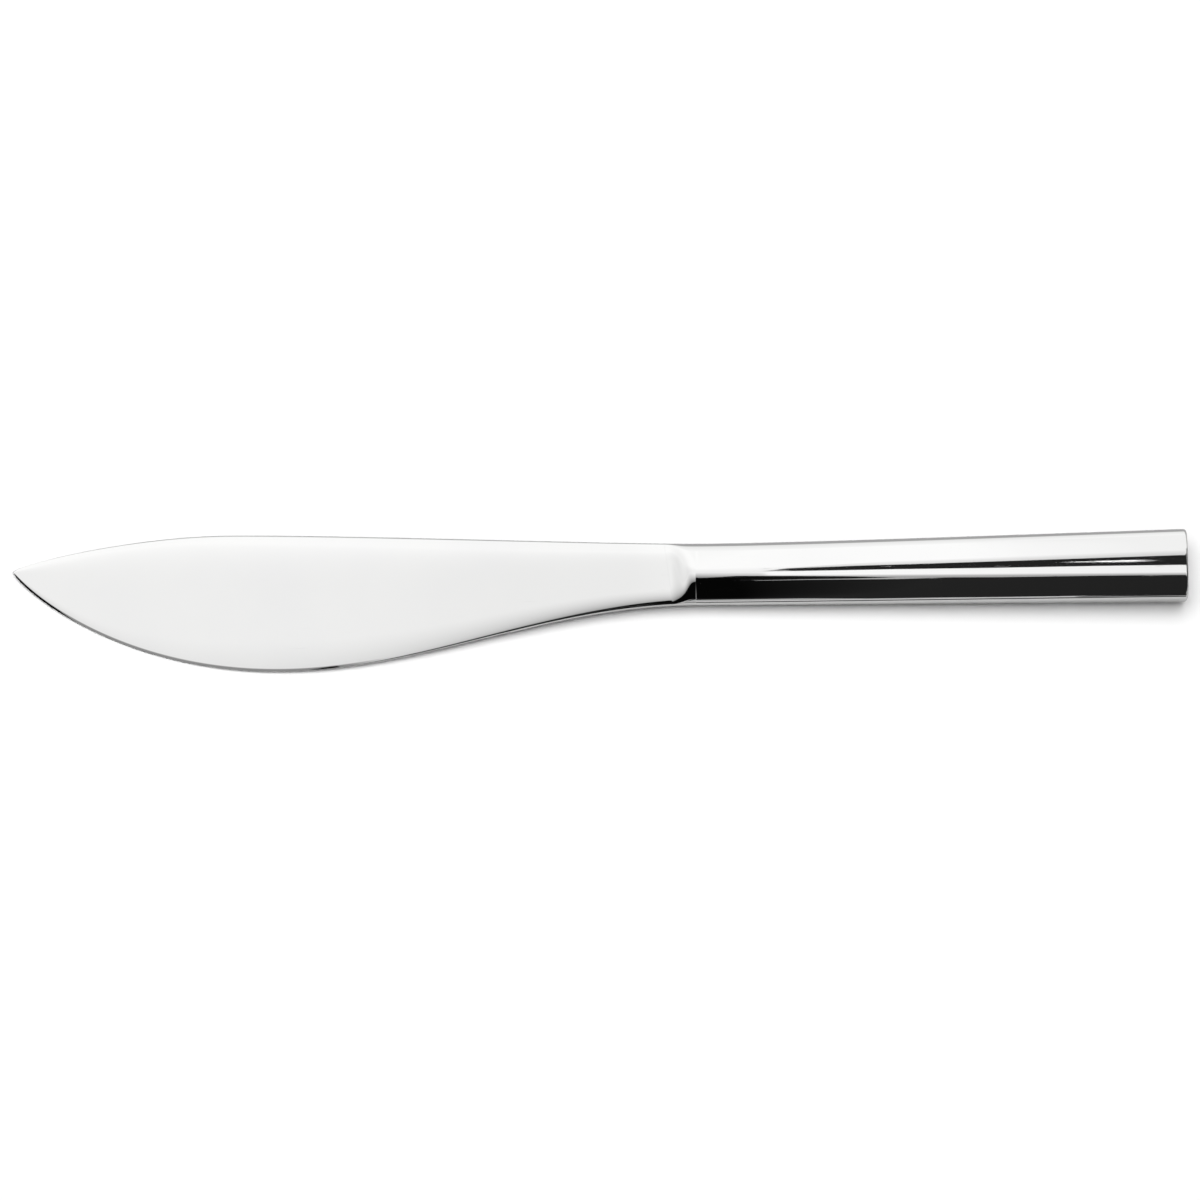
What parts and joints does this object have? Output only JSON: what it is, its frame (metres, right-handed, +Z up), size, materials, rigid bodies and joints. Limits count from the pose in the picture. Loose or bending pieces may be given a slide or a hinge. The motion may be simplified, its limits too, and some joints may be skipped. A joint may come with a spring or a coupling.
{
  "type": "cake knife",
  "caption": "Cake knife with a broad leaf-shaped blade, a forged shoulder and a smooth hollow metal handle that widens to a flat end, for cutting and serving cake.",
  "frame": {"origin": "centre of the underside of the bounding box of the knife as it lies on a table", "axes": "+X along the knife from the tip to the butt, +Y from the cutting edge to the spine, +Z up from the table, out of the upper flank"},
  "size_m": [0.27, 0.0324, 0.0106],
  "materials": {
    "polished_steel": "polished",
    "cement": "matte"
  },
  "bodies": {
    "root": {"blade": "polished_steel", "upper_handle_shell": "polished_steel", "lower_handle_shell": "polished_steel", "bolster_weld": "polished_steel", "seam_weld": "polished_steel", "tang_cement": "cement"}
  },
  "joints": []
}
